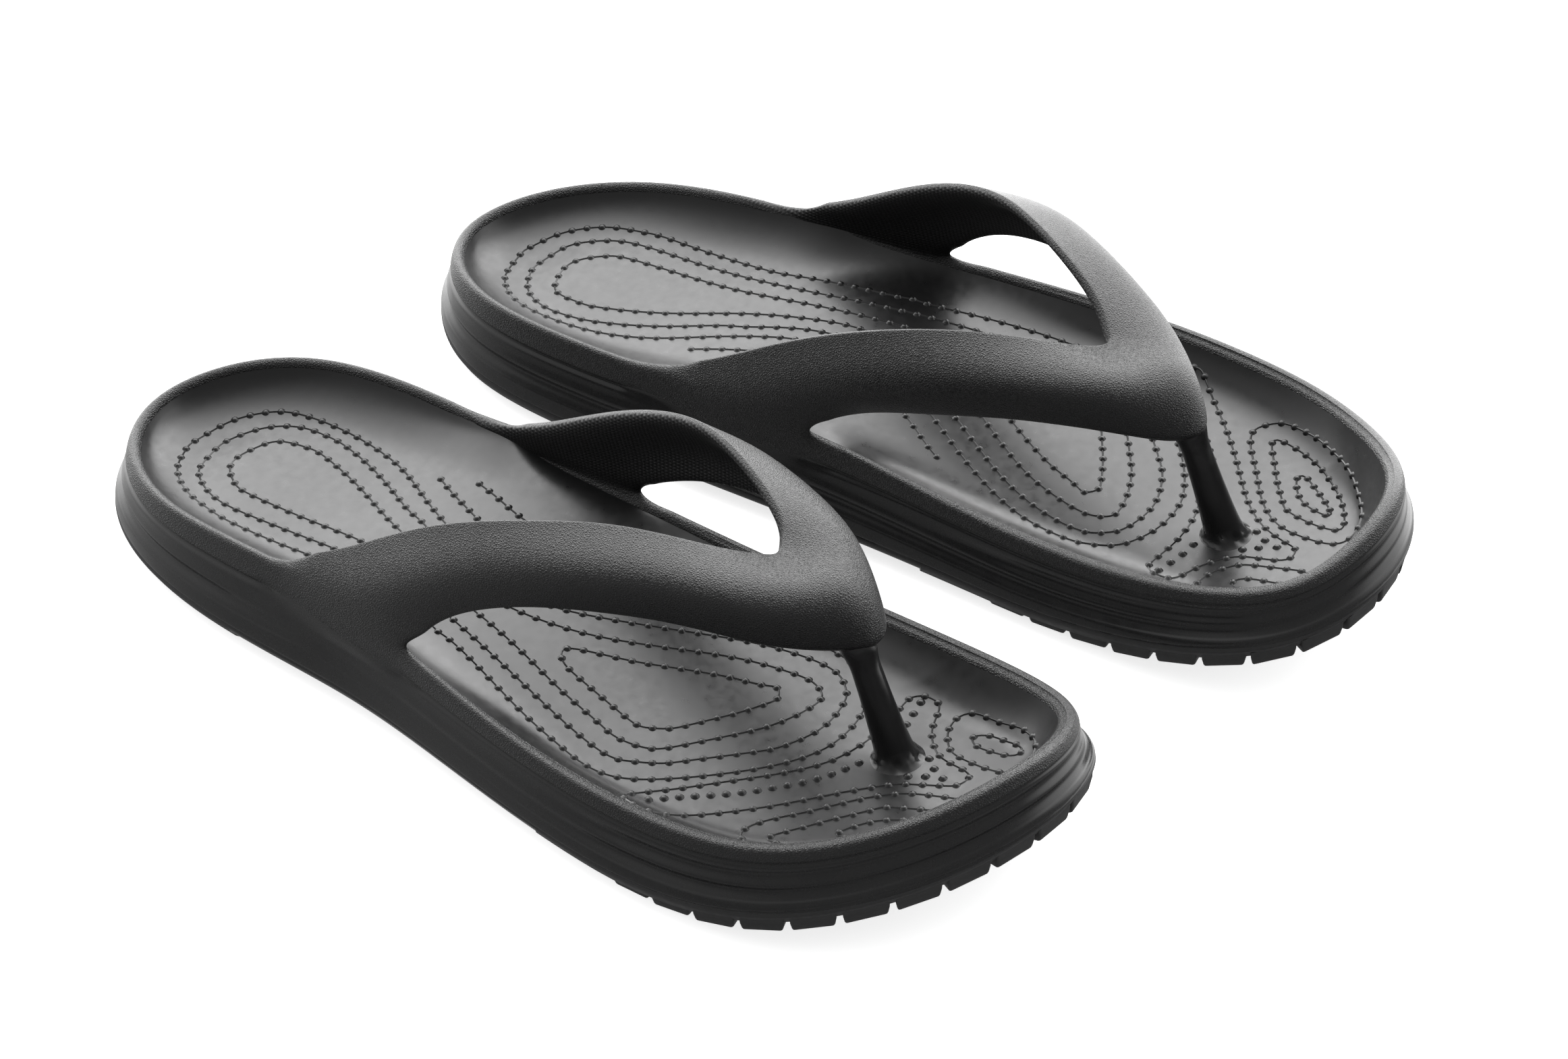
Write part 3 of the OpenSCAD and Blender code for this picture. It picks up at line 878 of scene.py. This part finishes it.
class Nodes:
    """A small helper that builds a material's node tree."""

    def __init__(self, name):
        self.material = bpy.data.materials.new(name)
        self.material.use_nodes = True
        self.tree = self.material.node_tree
        self.shader = self.tree.nodes["Principled BSDF"]

    def add(self, kind, **inputs):
        node = self.tree.nodes.new(kind)
        for key, value in inputs.items():
            self.feed(node.inputs[key], value)
        return node

    def feed(self, socket, value):
        if isinstance(value, bpy.types.NodeSocket):
            self.tree.links.new(value, socket)
        else:
            socket.default_value = value

    def math(self, how, a, b=0.0):
        node = self.tree.nodes.new("ShaderNodeMath")
        node.operation = how
        self.feed(node.inputs[0], a)
        self.feed(node.inputs[1], b)
        return node.outputs[0]

    def ranged(self, value, low, high, to_low, to_high):
        node = self.tree.nodes.new("ShaderNodeMapRange")
        for k, v in enumerate((value, low, high, to_low, to_high)):
            self.feed(node.inputs[k], v)
        return node.outputs[0]

    def mix(self, share, a, b):
        node = self.tree.nodes.new("ShaderNodeMix")
        node.data_type = "RGBA"
        self.feed(node.inputs["Factor"], share)
        self.feed(node.inputs[6], a)
        self.feed(node.inputs[7], b)
        return node.outputs[2]

    def place(self):
        return self.tree.nodes.new("ShaderNodeTexCoord").outputs["Object"]

    def noise(self, scale, detail=3.0):
        node = self.add("ShaderNodeTexNoise", Vector=self.place(), Scale=scale, Detail=detail,
                        Roughness=0.55)
        return node.outputs[0]

    def pebbles(self, scale):
        """Rounded cells with creases between them, from 0 in a crease to 1."""
        node = self.tree.nodes.new("ShaderNodeTexVoronoi")
        node.feature = "DISTANCE_TO_EDGE"
        self.feed(node.inputs["Vector"], self.place())
        self.feed(node.inputs["Scale"], scale)
        return self.ranged(node.outputs["Distance"], 0.0, 0.36, 0.0, 1.0)

    def waves(self, direction, scale, distortion):
        node = self.add("ShaderNodeTexWave", Vector=self.place(), Scale=scale, Distortion=distortion)
        node.bands_direction = direction
        return node.outputs[1]

    def mark(self, name):
        node = self.tree.nodes.new("ShaderNodeAttribute")
        node.attribute_name = name
        return node.outputs["Fac"]

    def bumps(self, *layers):
        """Bump layers as (height socket, strength, distance in millimetres)."""
        normal = None
        for height, strength, distance in layers:
            node = self.tree.nodes.new("ShaderNodeBump")
            self.feed(node.inputs["Height"], height)
            self.feed(node.inputs["Strength"], strength)
            self.feed(node.inputs["Distance"], distance * MM)
            if normal:
                self.feed(node.inputs["Normal"], normal)
            normal = node.outputs[0]
        self.feed(self.shader.inputs["Normal"], normal)


def grey(value):
    return (value, value, value * 1.03, 1.0)


def leather_height(m):
    """Fine pebbled grain of two sizes."""
    coarse = m.math("MULTIPLY", m.pebbles(1700.0), 0.75)
    fine = m.math("MULTIPLY", m.pebbles(3100.0), 0.25)
    return m.math("ADD", coarse, fine)


def foam_material():
    """Black foam: grained outside and on the rim, smooth low on the wall, knit-like in the strap."""
    m = Nodes("grained_foam")
    grain = m.mark("grain")
    knit = m.mark("knit")
    cloudy = m.noise(60.0)
    m.feed(m.shader.inputs["Base Color"], m.mix(cloudy, grey(0.0045), grey(0.0065)))
    smooth_part = m.ranged(m.noise(240.0), 0.3, 0.7, 0.23, 0.31)
    grained_part = m.ranged(cloudy, 0.3, 0.7, 0.29, 0.36)
    rough = m.math("ADD", m.math("MULTIPLY", grained_part, grain),
                   m.math("MULTIPLY", smooth_part, m.math("SUBTRACT", 1.0, grain)))
    rough = m.math("ADD", rough, m.math("MULTIPLY", knit, 0.12))
    m.feed(m.shader.inputs["Roughness"], rough)
    leather = leather_height(m)
    outside = m.math("MULTIPLY", grain, m.math("SUBTRACT", 1.0, knit))
    knit_height = m.math("MULTIPLY", m.waves("Z", 330.0, 1.2), m.waves("Y", 260.0, 1.6))
    m.bumps((m.noise(700.0), 0.06, 0.1), (leather, outside, 0.14),
            (knit_height, m.math("MULTIPLY", knit, 0.6), 0.25))
    return m.material


def glossy_material(name, low, high):
    m = Nodes(name)
    cloudy = m.noise(45.0)
    m.feed(m.shader.inputs["Base Color"], m.mix(cloudy, grey(0.006), grey(0.009)))
    m.feed(m.shader.inputs["Roughness"], m.ranged(m.noise(380.0, 4.0), 0.3, 0.7, low, high))
    m.bumps((m.noise(130.0, 2.0), 0.10, 0.4), (m.noise(1300.0, 2.0), 0.03, 0.06))
    return m.material


def rubber_material():
    m = Nodes("tread_rubber")
    cloudy = m.noise(90.0)
    m.feed(m.shader.inputs["Base Color"], m.mix(cloudy, grey(0.007), grey(0.011)))
    m.feed(m.shader.inputs["Roughness"], m.ranged(m.noise(300.0), 0.3, 0.7, 0.5, 0.64))
    m.bumps((m.noise(1400.0), 0.25, 0.1),)
    return m.material


FOAM = foam_material()
BED = glossy_material("glossy_foam", 0.27, 0.37)
POST = glossy_material("post_plastic", 0.18, 0.27)
RUBBER = rubber_material()

# ---------------------------------------------------------------- the two sandals in the frame


def shoe_matrix(side):
    """From the drawn right sandal, in millimetres, to its place in the frame, in metres."""
    low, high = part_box(side + "_post_anchor")
    centre = Vector([(a + b) / 2 for a, b in zip(low, high)])
    mirror = -1 if side == "left" else 1
    turn = Matrix.Rotation(math.pi - mirror * math.radians(SPLAY), 4, "Z")
    flip = Matrix.Diagonal((mirror, 1, 1, 1))
    depth = -(ANCHOR_TOP + ANCHOR_THICKNESS / 2)
    drawn_centre = post_matrix @ Vector((0, 0, depth))
    linear = turn @ flip @ Matrix.Scale(MM, 4)
    return Matrix.Translation(centre - linear @ drawn_centre) @ linear


# Name, mesh, material, finish slot and the angle above which an edge stays sharp
PIECES = [
    ("midsole", midsole_mesh, FOAM, "foam", 42), ("footbed", footbed_mesh, BED, "footbed_foam", 50),
    ("strap", strap_mesh, FOAM, "foam", 50), ("toe_post", post_mesh, POST, "post_plastic", 50),
    ("post_anchor", anchor_mesh, RUBBER, "tread_rubber", 40),
    ("forefoot_tread", fore_tread_mesh, RUBBER, "tread_rubber", 35),
    ("heel_tread", heel_tread_mesh, RUBBER, "tread_rubber", 35)]


def shade(mesh, angle):
    mesh.polygons.foreach_set("use_smooth", np.ones(len(mesh.polygons), bool))
    mesh.set_sharp_from_angle(angle=math.radians(angle))


for side in ("right", "left"):
    matrix = shoe_matrix(side)
    for name, mesh, material, slot, angle in PIECES:
        made = mesh.copy()
        made.name = side + "_" + name + "_mesh"
        made.transform(matrix)
        if side == "left":
            made.flip_normals()
        made.materials.clear()
        made.materials.append(material)
        made.polygons.foreach_set("material_index", np.zeros(len(made.polygons), np.int32))
        shade(made, angle)
        piece = bpy.data.objects.new(side + "_" + name + "_skin", made)
        bpy.context.scene.collection.objects.link(piece)
        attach(piece, side + "_shoe")
        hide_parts(side + "_" + name)

# ---------------------------------------------------------------- floor, light and camera


def floor_material():
    m = Nodes("pale_floor")
    m.feed(m.shader.inputs["Base Color"], (0.8, 0.8, 0.8, 1))
    m.feed(m.shader.inputs["Emission Color"], (1, 1, 1, 1))
    m.feed(m.shader.inputs["Emission Strength"], 0.74)
    m.feed(m.shader.inputs["Roughness"], 0.9)
    m.feed(m.shader.inputs["Specular IOR Level"], 0.0)
    return m.material


FLOOR = 6.0
floor_corners = [(-FLOOR, -FLOOR, 0), (FLOOR, -FLOOR, 0), (FLOOR, FLOOR, 0), (-FLOOR, FLOOR, 0)]
floor_mesh = make_mesh("floor", floor_corners, [[0, 1, 2, 3]])
floor_mesh.materials.append(floor_material())
floor = bpy.data.objects.new("floor", floor_mesh)
bpy.context.scene.collection.objects.link(floor)
floor.visible_glossy = False

VIEW_DOWN = math.radians(39.357)
VIEW_ROLL = math.radians(-2.4575)
VIEW_DISTANCE = 1.3372
VIEW_SIDE = Vector((0.7995, 0.6008, 0)).normalized()
view = VIEW_SIDE * math.cos(VIEW_DOWN) + Vector((0, 0, -math.sin(VIEW_DOWN)))
aim = Vector((0.0161, -0.0006, 0))
camera_data = bpy.data.cameras.new("camera")
camera_data.lens = 122.12
camera_data.sensor_width = 36
camera_data.clip_start = 0.01
camera_data.clip_end = 50
camera = bpy.data.objects.new("camera", camera_data)
facing = (-view).to_track_quat("Z", "Y").to_matrix().to_4x4()
camera.matrix_world = (Matrix.Translation(aim - view * VIEW_DISTANCE) @ facing
                       @ Matrix.Rotation(VIEW_ROLL, 4, "Z"))
bpy.context.scene.collection.objects.link(camera)
bpy.context.scene.camera = camera


def softbox(name, direction, distance, width, height, radiance):
    """A large rectangular light that faces the sandals from a direction."""
    data = bpy.data.lights.new(name, "AREA")
    data.shape = "RECTANGLE"
    data.size = width
    data.size_y = height
    data.energy = radiance * math.pi * width * height
    obj = bpy.data.objects.new(name, data)
    direction = Vector(direction).normalized()
    obj.location = Vector((0, 0, 0.03)) + direction * distance
    obj.rotation_euler = direction.to_track_quat("Z", "Y").to_euler()
    bpy.context.scene.collection.objects.link(obj)


def above_view(degrees):
    """The direction behind the sandals, seen from the camera, at a height in degrees."""
    rise = math.radians(degrees)
    return VIEW_SIDE * math.cos(rise) + Vector((0, 0, math.sin(rise)))


behind = above_view(38)
softbox("softbox_back", behind, 2.2, 2.2, 1.4, 1.6)
softbox("softbox_top", (0.1, 0.05, 1), 2.4, 1.4, 1.4, 0.4)


def studio_world():
    """A white backdrop behind the sandals, dim panels beside them and a dim room in front."""
    made = bpy.data.worlds.new("studio")
    made.use_nodes = True
    tree = made.node_tree
    shader = tree.nodes["Background"]
    place = tree.nodes.new("ShaderNodeTexCoord").outputs["Generated"]

    def lobe(direction, start, full, radiance):
        toward = tree.nodes.new("ShaderNodeVectorMath")
        toward.operation = "DOT_PRODUCT"
        tree.links.new(place, toward.inputs[0])
        toward.inputs[1].default_value = Vector(direction).normalized()
        fade = tree.nodes.new("ShaderNodeMapRange")
        fade.interpolation_type = "SMOOTHERSTEP"
        tree.links.new(toward.outputs["Value"], fade.inputs[0])
        for socket, value in zip(range(1, 5), (start, full, 0.0, radiance)):
            fade.inputs[socket].default_value = value
        return fade.outputs[0]

    low = above_view(26)
    right = Vector((VIEW_SIDE.y, -VIEW_SIDE.x, 0))
    rise = Vector((0, 0, 0.45))
    total = lobe((0, 0, 1), -0.3, 0.2, 0.1)
    for part in (lobe(low, 0.3, 0.88, 3.4), lobe(low, -0.2, 0.5, 0.35),
                 lobe((0, 0, 1), 0.5, 0.95, 0.08),
                 lobe(VIEW_SIDE * 0.5 + right + rise, 0.5, 0.95, 1.6),
                 lobe(VIEW_SIDE * 0.5 - right + rise, 0.3, 0.9, 0.3)):
        add = tree.nodes.new("ShaderNodeMath")
        tree.links.new(total, add.inputs[0])
        tree.links.new(part, add.inputs[1])
        total = add.outputs[0]
    add = tree.nodes.new("ShaderNodeMath")
    tree.links.new(total, add.inputs[0])
    add.inputs[1].default_value = 0.25
    tree.links.new(add.outputs[0], shader.inputs["Strength"])
    shader.inputs["Color"].default_value = (1, 1, 1, 1)
    return made


bpy.context.scene.world = studio_world()
bpy.context.scene.view_settings.view_transform = "Standard"
bpy.context.scene.view_settings.look = "None"
bpy.context.scene.view_settings.exposure = 0
bpy.context.scene.view_settings.gamma = 1
